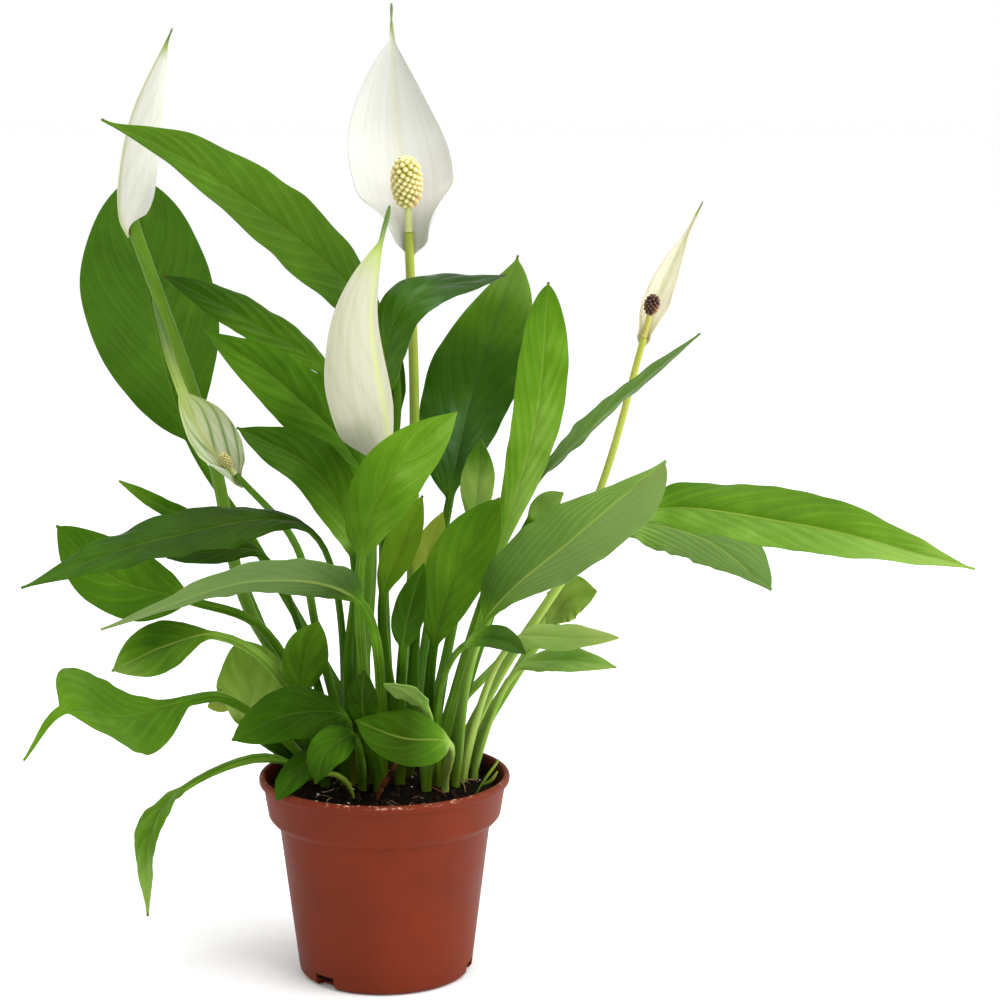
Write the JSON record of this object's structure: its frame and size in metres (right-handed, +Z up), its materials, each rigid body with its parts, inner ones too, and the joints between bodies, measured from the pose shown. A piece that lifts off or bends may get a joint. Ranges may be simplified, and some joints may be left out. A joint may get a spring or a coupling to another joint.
{
  "type": "potted peace lily",
  "caption": "Leafy peace lily with white hooded flowers on long stems, standing in dark soil in a tapered terracotta-coloured nursery pot.",
  "frame": {"origin": "centre of the pot's flat underside", "axes": "+Z up along the pot's axis, -Y towards the front, +X towards the plant's longest side leaf"},
  "size_m": [0.4403, 0.2979, 0.4612],
  "materials": {
    "terracotta": "matt, faint scuffs on the rim",
    "soil": "rough, damp peat",
    "mid": "waxy leaf",
    "dark": "waxy leaf",
    "light": "soft young leaf",
    "deep": "waxy, dark glossy leaf",
    "olive": "grey-green or yellowing leaf",
    "stem": "smooth flower stem",
    "white": "matt white spathe with a green tip",
    "cream": "knobbly cream florets",
    "ivory": "matt ivory spathe",
    "faded": "thin fading spathe",
    "brown": "withered florets",
    "striped": "young spathe, white with green veins"
  },
  "bodies": {
    "root": {"pot": "terracotta", "soil": "soil", "leaf_upper_left": "mid", "leaf_back_left": "dark", "leaf_left_high": "dark", "leaf_left_mid": "mid", "leaf_left_fold": "dark", "leaf_front_bright": "light", "leaf_arching": "dark", "leaf_broad_dark": "deep", "leaf_tall_bright": "light", "leaf_right_edge_on": "mid", "leaf_right_broad": "mid", "leaf_far_right": "light", "leaf_far_right_under": "mid", "leaf_crumpled": "light", "leaf_right_low": "mid", "leaf_right_lower": "dark", "leaf_small_folded": "dark", "leaf_saddle": "olive", "leaf_front_round": "light", "leaf_front_left": "dark", "leaf_front_tip_down": "light", "leaf_over_rim": "dark", "leaf_low_left": "mid", "leaf_drooping": "mid", "leaf_left_lower": "dark", "leaf_grey_underside": "olive", "leaf_dark_left": "deep", "leaf_left_behind": "mid", "leaf_left_far": "mid", "leaf_left_shadow": "deep", "leaf_pale_young": "olive", "leaf_left_inner": "dark", "leaf_yellowing": "olive", "leaf_front_dark": "deep", "leaf_inner_olive": "olive", "leaf_inner_bright": "mid", "leaf_inner_yellow": "olive", "leaf_inner_glossy": "mid", "leaf_inner_right": "deep", "leaf_inner_back": "deep", "leaf_small_dark": "deep", "flower_main_stem": "stem", "flower_main_spathe": "white", "flower_main_spadix": "cream", "flower_left_stem": "stem", "flower_left_spathe": "white", "flower_left_spadix": "cream", "flower_closed_stem": "stem", "flower_closed_spathe": "ivory", "flower_closed_spadix": "cream", "flower_fading_stem": "stem", "flower_fading_spathe": "faded", "flower_fading_spadix": "brown", "flower_young_stem": "stem", "flower_young_spathe": "striped", "flower_young_spadix": "cream"}
  },
  "joints": []
}
